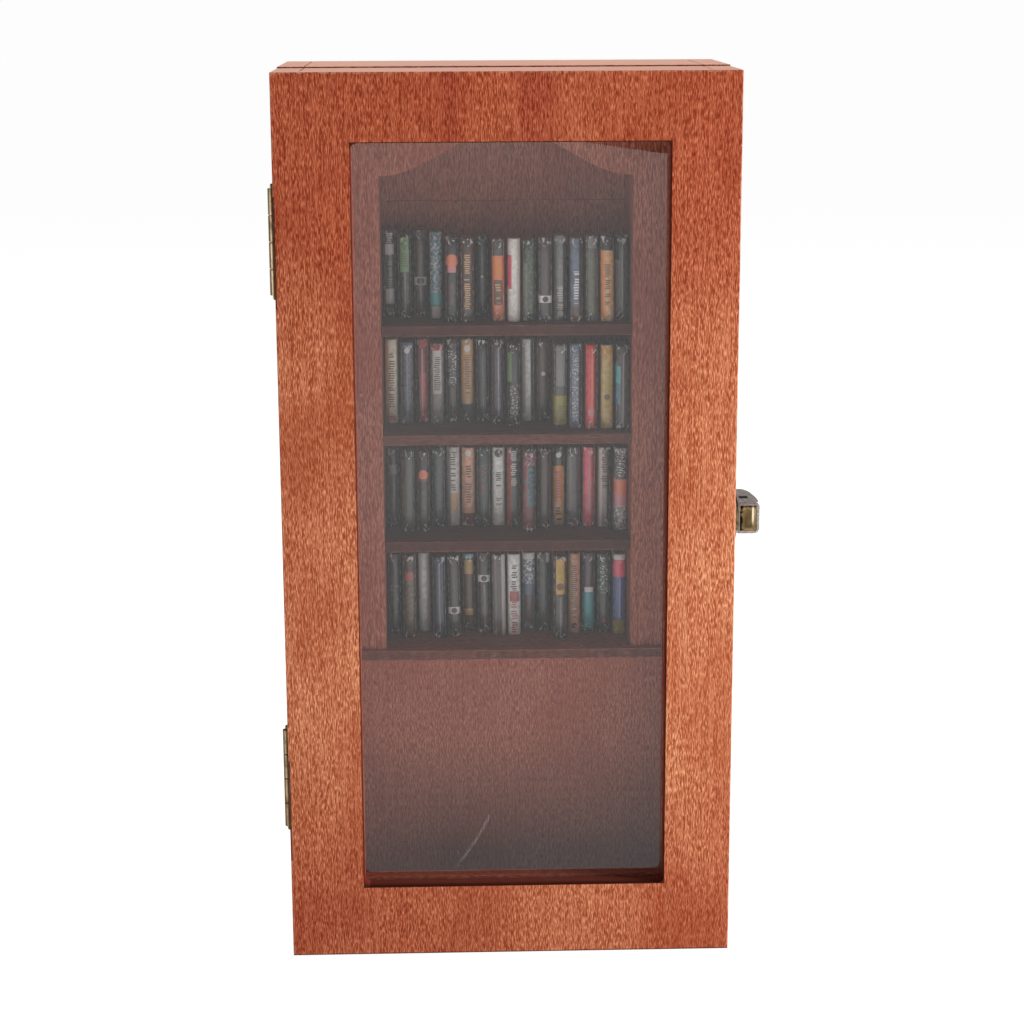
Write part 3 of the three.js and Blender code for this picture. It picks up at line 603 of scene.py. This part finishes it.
def clear_pane(name):
    """A clear sheet: what is behind shows through, with the room's reflection and dust."""
    s = Surface(name)
    gloss = s.node("ShaderNodeBsdfAnisotropic")
    gloss.inputs["Roughness"].default_value = 0.0
    clear = s.node("ShaderNodeBsdfTransparent")
    clear.inputs["Color"].default_value = PANE_TINT
    dust = s.node("ShaderNodeBsdfDiffuse")
    dust.inputs["Color"].default_value = DUST_TINT
    fresnel = s.node("ShaderNodeFresnel")
    fresnel.inputs["IOR"].default_value = PANE_IOR
    facing = s.math("SUBTRACT", 1.0, s.node("ShaderNodeNewGeometry").outputs["Backfacing"])
    see = s.node("ShaderNodeMixShader")
    s.put(s.math("MULTIPLY", fresnel.outputs[0], facing), see.inputs[0])
    s.put(clear.outputs[0], see.inputs[1])
    s.put(gloss.outputs[0], see.inputs[2])
    specks = s.noise(s.place((1500, 1500, 1500)), detail=0)
    film = s.noise(s.place((14, 14, 14)), detail=3)
    amount = s.math("MAXIMUM", s.step(specks, 0.83, 0.85, 0, 0.3), s.step(film, 0.4, 0.8, 0.0, 0.012))
    amount = s.math("MAXIMUM", amount, scratch(s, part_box("window_pane")))
    both = s.node("ShaderNodeMixShader")
    s.put(amount, both.inputs[0])
    s.put(see.outputs[0], both.inputs[1])
    s.put(dust.outputs[0], both.inputs[2])
    s.put(both.outputs[0], s.output.inputs["Surface"])
    return s.material


def paper_edges(name):
    """The cut edges of a book's pages."""
    s = Surface(name)
    leaves = s.noise(s.place((9000, 300, 300)), detail=1)
    dark, light = [linear(tone) for tone in PAGES]
    colour = s.mix(s.step(leaves, 0.35, 0.65), dark, light)
    s.principled(colour, 0.85, s.bump(leaves, 0.05 * MM, 0.5))
    return s.material


def mark_mask(s, u, v, half, tall, seed, mark):
    """Where one printed mark is on a cover. U and V are in millimetres."""
    kind, low, high, _ = mark
    a, b = low * tall, high * tall
    if kind == "dot":
        return s.step(s.reach(u, s.math("SUBTRACT", v, a)), b * 0.75, b, 1, 0)
    between = band_mask(s, v, a, b, 0.12)
    inside = s.step(s.math("ABSOLUTE", u), half * 0.66, half * 0.66 + 0.15, 1, 0)
    if kind == "band":
        return between
    if kind == "label":
        shape = inside
    elif kind == "bars":
        shape = s.letters(u, v, half, 0.56 + 0.07 * (seed % 5), seed)
    elif kind == "chips":
        bits = s.noise(s.place((1.6, 2.6, 1), (seed, seed * 7, 0), "UV"), detail=1)
        shape = s.math("MULTIPLY", s.step(bits, 0.56, 0.62), inside)
    elif kind == "mottle":
        cloud = s.noise(s.place((1.3, 1.1, 1), (seed * 2, seed, 0), "UV"), detail=3, rough=0.65)
        shape = s.step(cloud, 0.45, 0.62)
    elif kind in ("rule", "rule2"):
        middle = 0.1 if kind == "rule" else half * 1.2
        shape = band_mask(s, u, middle - 0.12, middle + 0.12, 0.18)
    else:
        toward = -1 if kind == "left" else 1
        shape = s.step(s.math("MULTIPLY", u, toward), half * 0.3, half * 0.5)
    return s.math("MULTIPLY", between, shape)


def cover_wear_and_glints(s, u, v, half, tall, seed):
    """White card showing through, and painted glints: chips and curls at the spine's two ends that are partly
    each, and its folds.
    """
    # Chips at both ends, partly card showing through and partly painted glints.
    ends = s.math("MAXIMUM", s.step(v, tall - 2.2, tall - 1.2), s.step(v, 0.9, 1.7, 1, 0))
    chips = s.noise(s.place((1.15, 0.6, 1), (seed * 9, seed, 0), "UV"), 1.0, 2, 0.6)
    white_marks = s.math("MULTIPLY", ends, s.step(chips, 0.57, 0.6))
    # Curls at each end, partly painted glints and partly whitened card.
    for centre, flip in ((tall - 1.0, 1), (0.9, -1)):
        ring = s.reach(u, s.math("MULTIPLY", s.math("SUBTRACT", v, centre), 0.7))
        curl = band_mask(s, ring, half * 0.5, half * 0.62, 0.08)
        curl = s.math("MULTIPLY", curl, s.step(s.math("MULTIPLY", u, (-1) ** seed * flip), 0, 0.25))
        curl = s.math("MULTIPLY", curl, s.step(chips, 0.46, 0.6, 0.15, 1))
        white_marks = s.math("MAXIMUM", white_marks, curl)
    fold = band_mask(s, s.math("ABSOLUTE", u), half * 0.98, half * 1.12, half * 0.1)
    rubbed = s.noise(s.place((1.0, 0.55, 1), (seed * 3, seed, 0), "UV"), 1.0, 3, 0.6)
    fold = s.math("MULTIPLY", fold, s.step(rubbed, 0.42, 0.6, 0.05, 0.6))
    return s.math("MAXIMUM", s.math("MULTIPLY", white_marks, 0.9), fold)


def book_cover(name, cover, marks, thickness, height, gain, seed):
    """Laminated printed card. UV runs in millimetres: U from the spine's middle, V up."""
    s = Surface(name)
    u, v, _ = s.split(s.coordinates.outputs["UV"])
    half = thickness / 2 / MM
    tall = height / MM
    place = s.place((1, 1, 1), (seed * 13.7, seed * 5.1, seed), "UV")
    tone = s.noise(place, 0.8, 3)
    shade = [min(c * gain, 1.0) for c in linear(PALETTE[cover])[:3]]
    colour = s.mix(s.step(tone, 0.3, 0.7), [c * 0.72 for c in shade] + [1], shade + [1])
    for mark in marks:
        ink = linear(PALETTE[mark[-1]])
        colour = s.mix(mark_mask(s, u, v, half, tall, seed, mark), colour, ink)
    colour = s.mix(cover_wear_and_glints(s, u, v, half, tall, seed), colour, linear(PALETTE["white"]))
    scuff = s.noise(s.place((2.2, 0.6, 1), (seed * 4, 0, 0), "UV"), 1.0, 3)
    roughness = s.step(scuff, 0.3, 0.75, 0.24, 0.5)
    wrinkle = s.noise(place, 1.4, 3, 0.6)
    s.principled(colour, roughness, s.bump(wrinkle, 0.12 * MM, 0.45), Coat_Weight=0.6, Coat_Roughness=0.1)
    return s.material


# Frame nodes: worn edges and surfaces

def soften(node, width):
    """Joins the imported triangles, rounds the sharp edges and keeps flat faces flat."""
    for polygon in node.data.polygons:
        polygon.use_smooth = True
    custom = node.data.attributes.get("custom_normal")
    if custom is not None:
        node.data.attributes.remove(custom)
    weld = node.modifiers.new("weld", "WELD")
    weld.merge_threshold = 0.0005 * MM
    merge = node.modifiers.new("merge_flat", "DECIMATE")
    merge.decimate_type = "DISSOLVE"
    merge.angle_limit = math.radians(0.5)
    bevel = node.modifiers.new("edges", "BEVEL")
    bevel.width = width
    bevel.segments = 2
    bevel.limit_method = "ANGLE"
    bevel.angle_limit = math.radians(32)
    bevel.use_clamp_overlap = False
    flat = node.modifiers.new("flat", "WEIGHTED_NORMAL")
    flat.keep_sharp = False


def paint(node, material):
    node.data.materials.clear()
    node.data.materials.append(material)


def joined_box(names):
    boxes = [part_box(n) for n in names]
    low = Vector([min(b[0][i] for b in boxes) for i in range(3)])
    high = Vector([max(b[1][i] for b in boxes) for i in range(3)])
    return low, high


def dress_case():
    """The case's boards and the door's rims and front: the stained outside."""
    body = ["case_left_side", "case_right_side", "case_top", "case_bottom", "case_back"]
    rims = ["door_left_rim", "door_right_rim", "door_top_rim", "door_bottom_rim"]
    body_box = joined_box(body)
    door_box = joined_box(rims + ["door_front_panel"])
    crosswise = ("case_top", "case_bottom", "door_top_rim", "door_bottom_rim")
    for i, name in enumerate(body + rims):
        along = "X" if name in crosswise else "Z"
        box = body_box if name in body else door_box
        paint(NODES[name], wood(name + "_wood", CASE_TONES, along, box, None, i * 3.1))
        soften(NODES[name], BOARD_EDGE)
    panel = NODES["door_front_panel"]
    paint(panel, wood("door_front_wood", CASE_TONES, "Z", door_box, window_char_and_shadow))
    soften(panel, PANEL_EDGE)


def dress_bookcase():
    """The bookcase inside, the lower panel and the beads that hold the pane."""
    upright = [
        "face_frame", "lower_panel", "bookcase_left_side", "bookcase_right_side",
        "bookcase_back_lower", "bookcase_back_upper",
    ]
    for i, name in enumerate(upright):
        # The lower panel gets painted shade towards its foot.
        darkening = shaded_foot if name == "lower_panel" else None
        paint(NODES[name], wood(name + "_wood", INNER_TONES, "Z", None, darkening, i * 5.3))
        soften(NODES[name], SHEET_EDGE)
    for i, (name, strength) in enumerate(SCORCHED.items()):
        # The shelves take darker tones as painted shade on their tops; the base ledge keeps the inside's
        # tones.
        tones = INNER_TONES if name == "base_ledge" else SHADED_SHELF_TONES
        darkening = front_char(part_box(name), strength)
        paint(NODES[name], wood(name + "_wood", tones, "X", None, darkening, i * 2.7))
        soften(NODES[name], SHEET_EDGE)
    for name in [n for n in NODES if n.startswith("pane_bead")]:
        along = "Z" if name.endswith(("left", "right")) else "X"
        tones = BEAD_TONES if name == "pane_bead_bottom" else INNER_TONES
        paint(NODES[name], wood(name + "_wood", tones, along))
        soften(NODES[name], BOARD_EDGE)


def dress_metal():
    """The hinges and the catch, with their screws and pins."""
    low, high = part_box("upper_hinge_pin")
    hinge = brass("hinge_brass", (low.x + high.x) / 2)
    catch = brass("catch_brass")
    for name, node in NODES.items():
        if "hinge" in name or name.startswith(("catch", "keeper")):
            paint(node, hinge if "hinge" in name else catch)
            soften(node, METAL_EDGE)
    make_catch_cover(catch)


# The pressed cover of the catch

def rounded_ring(low, high, radii, steps=5):
    """A box outline with rounded corners, anticlockwise from the lower left one."""
    centres = [
        (low.x + radii[0], low.y + radii[0]), (high.x - radii[1], low.y + radii[1]),
        (high.x - radii[2], high.y - radii[2]), (low.x + radii[3], high.y - radii[3]),
    ]
    ring = []
    for corner, (centre, radius) in enumerate(zip(centres, radii)):
        for i in range(steps + 1):
            turn = math.pi * (1 + corner / 2 + i / steps / 2)
            ring.append(Vector((centre[0] + radius * math.cos(turn), centre[1] + radius * math.sin(turn))))
    return ring


def lofted(name, rings, materials, slots):
    """One closed body through rings of points; slots gives the material of each band and,
    last, of the two ends."""
    made = bmesh.new()
    loops = [[made.verts.new(point) for point in ring] for ring in rings]
    for low, high, slot in zip(loops, loops[1:], slots):
        for i in range(len(low)):
            j = (i + 1) % len(low)
            made.faces.new((low[i], low[j], high[j], high[i])).material_index = slot
    for ring in (loops[0], loops[-1]):
        made.faces.new(ring).material_index = slots[-1]
    bmesh.ops.recalc_face_normals(made, faces=made.faces)
    for face in made.faces:
        face.smooth = True
    mesh = bpy.data.meshes.new(name)
    made.to_mesh(mesh)
    made.free()
    for material in materials:
        mesh.materials.append(material)
    piece = bpy.data.objects.new(name, mesh)
    bpy.context.scene.collection.objects.link(piece)
    sharpen(piece, 35)
    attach(piece, "flap")
    return piece


def rim_metal():
    """The uncoated grey edge of the pressed sheet, with the slot on top painted dark as its shadow."""
    low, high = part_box("catch_flap")
    s = Surface("catch_rim_metal")
    x, y, _ = s.split(s.coordinates.outputs["Object"])
    grain = s.noise(s.place((1800, 1800, 1800)), detail=2)
    dark, light = [linear(tone) for tone in BARE_METAL]
    colour = s.mix(s.step(grain, 0.35, 0.65), dark, light)
    # The slot's painted shadow.
    slot = band_mask(s, x, high.x - 4.7 * MM, high.x - 2.4 * MM, 0.2 * MM)
    slot = s.math("MULTIPLY", slot, band_mask(s, y, low.y + 4.6 * MM, low.y + 6.6 * MM, 0.4 * MM))
    colour = s.mix(slot, colour, linear(TARNISH_AND_SHADE))
    s.principled(colour, s.step(grain, 0.3, 0.7, 0.6, 0.45), s.bump(grain, 0.03 * MM, 0.5), Metallic=0.75)
    return s.material


def make_catch_cover(brass_material):
    """A pressed face in front of the flap, and a top that climbs back towards the case."""
    low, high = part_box("catch_flap")
    left, right = high.x - 5.8 * MM, high.x + 0.45 * MM
    bottom, top = low.z - 0.15 * MM, high.z + 0.3 * MM
    metals = [brass_material, rim_metal()]
    rings = []
    for rise, inset in FACE_RINGS:
        radii = [max(r - inset, 0.15) * MM for r in FACE_CORNERS]
        lower_left = Vector((left + inset * MM, bottom + inset * MM))
        upper_right = Vector((right - inset * MM, top - inset * MM))
        flat = rounded_ring(lower_left, upper_right, radii)
        rings.append([Vector((p.x, low.y - rise * MM, p.y)) for p in flat])
    lofted("catch_cover_face", rings, metals, FACE_SLOTS)

    outline = [(left, low.y)]
    outline += [(right - inset * MM, low.y + depth * MM) for inset, depth in TOP_OUTLINE]
    outline += [(left + 1.0 * MM, low.y + TOP_DEPTH * MM)]
    under = high.z + 0.02 * MM
    rings = [[Vector((x, y, under)) for x, y in outline],
             [Vector((x, y, under + 0.28 * MM + TOP_RISE * (y - low.y))) for x, y in outline]]
    lofted("catch_cover_top", rings, metals, (1, 1))


# Books

def offset_loop(points, distance):
    """A closed outline moved inwards by distance, each point along its own corner."""
    moved = []
    count = len(points)
    for i, point in enumerate(points):
        before = (point - points[i - 1]).normalized()
        after = (points[(i + 1) % count] - point).normalized()
        inward = Vector((-before.y - after.y, before.x + after.x))
        moved.append(point + inward.normalized() * distance if inward.length > 1e-6 else point.copy())
    return moved


def cover_outline(half, depth):
    """One side board, the rounded spine with its two joint grooves, and the other board, as
    an outline seen from above, then back along the inside. Anticlockwise, spine towards -Y."""
    board = 0.38 * MM
    side = [
        (half, depth), (half, 2.6 * MM), (half - 0.17 * MM, 2.05 * MM), (half - 0.03 * MM, 1.5 * MM),
        (half * 0.97, 1.05 * MM), (half * 0.86, 0.6 * MM), (half * 0.66, 0.26 * MM),
        (half * 0.36, 0.06 * MM),
    ]
    outer = [Vector((-x, y)) for x, y in side] + [Vector((0, 0))]
    outer += [Vector((x, y)) for x, y in reversed(side)]
    inner = [
        Vector((half - board, depth)), Vector((half - board, board * 2.4)),
        Vector((-half + board, board * 2.4)), Vector((-half + board, depth)),
    ]
    return outer, inner


def book_mesh(name, half, depth, height):
    """A bound book with its spine at y = 0 and its foot at z = 0: slot 0 is the cover and
    slot 1 the pages."""
    made = bmesh.new()
    uv = made.loops.layers.uv.new("cover")
    outer, inner = cover_outline(half, depth)
    loop = outer + inner
    spine = len(outer) // 2
    along = [0.0] * len(loop)
    for i in range(spine - 1, -1, -1):
        along[i] = along[i + 1] - (outer[i + 1] - outer[i]).length
    for i in range(spine + 1, len(outer)):
        along[i] = along[i - 1] + (outer[i] - outer[i - 1]).length
    turn_in = [(0, 0.3), (0.12, 0.1), (0.4, 0)]
    levels = [(z * MM, inset * MM) for z, inset in turn_in]
    levels += [(height * share, 0) for share in (0.25, 0.5, 0.75)]
    levels += [(height - z, inset) for z, inset in reversed(levels[:3])]
    rings = []
    for z, inset in levels:
        shaped = offset_loop(loop, inset)
        rings.append([made.verts.new((p.x, p.y, z)) for p in shaped])
    count = len(loop)
    for (low_z, _), (high_z, _), low, high in zip(levels, levels[1:], rings, rings[1:]):
        for i in range(count):
            j = (i + 1) % count
            face = made.faces.new((low[i], low[j], high[j], high[i]))
            for corner, (u, z) in zip(face.loops, ((along[i], low_z), (along[j], low_z),
                                                   (along[j], high_z), (along[i], high_z))):
                corner[uv].uv = (u / MM, z / MM)
    for ring, z in ((list(reversed(rings[0])), 0), (rings[-1], height)):
        face = made.faces.new(ring)
        for corner in face.loops:
            corner[uv].uv = (corner.vert.co.x / MM, z / MM)
    board = 0.42 * MM
    low = Vector((-half + board, board * 2.6, 0.55 * MM))
    high = Vector((half - board, depth - 0.5 * MM, height - 0.55 * MM))
    pages = bmesh.ops.create_cube(made, size=1)["verts"]
    for vertex in pages:
        vertex.co = Vector([low[i] if vertex.co[i] < 0 else high[i] for i in range(3)])
    for face in {f for vertex in pages for f in vertex.link_faces}:
        face.material_index = 1
    for face in made.faces:
        face.smooth = face.material_index == 0
    made.normal_update()
    mesh = bpy.data.meshes.new(name)
    made.to_mesh(mesh)
    made.free()
    return mesh


def sharpen(piece, angle=40):
    split = piece.modifiers.new("creases", "EDGE_SPLIT")
    split.split_angle = math.radians(angle)


def block_of(row, book):
    """The frame node that holds the place of a book."""
    block = 1 + sum(book >= start for start in BLOCK_STARTS)
    return f"books_row_{row + 1}_block_{block}"


def make_book(row, i, share, lean, turn, pages):
    """One book on its shelf, riding on the case in the place of its block."""
    name = f"book_{row + 1}_{i + 1:02d}"
    low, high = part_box("shelf_1")
    pitch = (high.x - low.x) / BOOKS_IN_ROW
    thickness = pitch * share
    height = BOOK_HEIGHTS[row][i] * MM - TOP_GAP
    mesh = book_mesh(name, thickness / 2, BOOK_DEPTH, height)
    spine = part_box("face_frame")[0].y + SPINES[row][i] * MM
    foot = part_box(block_of(row, i))[0].z
    middle = Vector((low.x + (i + 0.5) * pitch, spine, foot))
    stand = Matrix.Rotation(math.radians(lean), 4, "Y") @ Matrix.Rotation(math.radians(turn), 4, "Z")
    mesh.transform(Matrix.Translation(middle) @ stand)
    cover, marks = BOOK_ROWS[row][i]
    seed = row * BOOKS_IN_ROW + i + 1
    gain = COVER_GAINS[row]
    mesh.materials.append(book_cover(name + "_cover", cover, marks, thickness, height, gain, seed))
    mesh.materials.append(pages)
    piece = bpy.data.objects.new(name, mesh)
    bpy.context.scene.collection.objects.link(piece)
    sharpen(piece)
    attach(piece, "case")
    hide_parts(block_of(row, i))


def make_books():
    """Four rows of books, each a little thicker or thinner, leaning and turned."""
    draw = random.Random(BOOK_SEED)
    pages = paper_edges("page_edges")
    for row in range(len(BOOK_ROWS)):
        lean = 0.0
        for i in range(BOOKS_IN_ROW):
            share = draw.uniform(*BOOK_THICKNESS)
            lean += draw.uniform(-LEAN_STEP, LEAN_STEP)
            lean = max(-LEAN_MOST, min(LEAN_MOST, lean))
            turn = draw.uniform(-TURN_MOST, TURN_MOST)
            make_book(row, i, share, lean, turn, pages)


# Stage

def stage_sheet(name, corners, surface):
    """A flat four-cornered sheet that belongs to the stage."""
    mesh = bpy.data.meshes.new(name)
    mesh.from_pydata(corners, [], [(0, 1, 2, 3)])
    mesh.materials.append(surface.material)
    sheet = bpy.data.objects.new(name, mesh)
    bpy.context.scene.collection.objects.link(sheet)
    return sheet


def make_floor():
    """The glowing white table."""
    half = FLOOR_SIZE / 2
    s = Surface("floor_white")
    made = s.principled((FLOOR_WHITE, FLOOR_WHITE, FLOOR_WHITE, 1), 0.9, Specular_IOR_Level=0.0)
    made.inputs["Emission Color"].default_value = (1, 1, 1, 1)
    y = s.split(s.coordinates.outputs["Object"])[1]
    glow = s.step(y, *FLOOR_GLOW_BAND, FLOOR_GLOW_FAR, FLOOR_GLOW)
    s.put(glow, made.inputs["Emission Strength"])
    s.material.cycles.emission_sampling = "NONE"
    stage_sheet("floor", [(-half, -half, 0), (half, -half, 0), (half, half, 0), (-half, half, 0)], s)


def make_far_edge():
    """Where the glowing table ends, far ahead and to the right: it shows only as a dark
    wedge in the pane's reflection."""
    s = Surface("far_edge_dark")
    s.principled((0.01, 0.01, 0.01, 1), 1.0, Specular_IOR_Level=0.0)
    stage_sheet("far_edge", FAR_EDGE, s).visible_camera = False


def make_side_net():
    """A thin grey net beside the case that lets only part of the key light reach its right
    side. Its near edge stops level with the front, so the front gets the light in full."""
    s = Surface("side_net_grey")
    gauze = s.node("ShaderNodeBsdfTransparent")
    gauze.inputs["Color"].default_value = (NET_PASSES, NET_PASSES, NET_PASSES, 1)
    s.put(gauze.outputs[0], s.output.inputs["Surface"])
    (near, far), (foot, top) = NET_Y, NET_Z
    corners = [(NET_X, near, foot), (NET_X, far, foot), (NET_X, far, top), (NET_X, near, top)]
    stage_sheet("side_net", corners, s).visible_camera = False


def area_light(name, at, toward, size, power):
    light = bpy.data.lights.new(name, "AREA")
    light.shape = "RECTANGLE"
    light.size, light.size_y = size
    light.energy = power
    lamp = bpy.data.objects.new(name, light)
    bpy.context.scene.collection.objects.link(lamp)
    lamp.location = at
    lamp.rotation_euler = (Vector(toward) - Vector(at)).to_track_quat("-Z", "Y").to_euler()


def light_stage():
    """White surroundings, bright below the horizon and dim above it, and the lights."""
    world = bpy.data.worlds.new("studio")
    bpy.context.scene.world = world
    world.use_nodes = True
    tree = world.node_tree
    sky = tree.nodes["Background"]
    sky.inputs["Color"].default_value = (1, 1, 1, 1)
    direction = tree.nodes.new("ShaderNodeTexCoord")
    height = tree.nodes.new("ShaderNodeSeparateXYZ")
    fade = tree.nodes.new("ShaderNodeMapRange")
    for i, value in enumerate((0, SKY_BAND, SKY_LOW, SKY_HIGH), 1):
        fade.inputs[i].default_value = value
    tree.links.new(direction.outputs["Generated"], height.inputs[0])
    tree.links.new(height.outputs["Z"], fade.inputs[0])
    tree.links.new(fade.outputs[0], sky.inputs["Strength"])
    for settings in LIGHTS:
        area_light(*settings)


def make_camera():
    data = bpy.data.cameras.new("camera")
    data.lens = CAMERA_LENS
    data.sensor_width = 36
    data.clip_start = 0.01
    camera = bpy.data.objects.new("camera", data)
    bpy.context.scene.collection.objects.link(camera)
    turn = Matrix.Rotation(math.radians(CAMERA_YAW), 4, "Z")
    tilt = Matrix.Rotation(math.radians(90 - CAMERA_PITCH), 4, "X")
    roll = Matrix.Rotation(math.radians(CAMERA_ROLL), 4, "Z")
    camera.matrix_world = Matrix.Translation(CAMERA_AT) @ turn @ tilt @ roll
    bpy.context.scene.camera = camera
    bpy.context.scene.view_settings.view_transform = "Standard"


make_camera()
dress_case()
dress_bookcase()
dress_metal()
paint(NODES["window_pane"], clear_pane("clear_pane_sheet"))
make_books()
make_floor()
make_far_edge()
make_side_net()
light_stage()
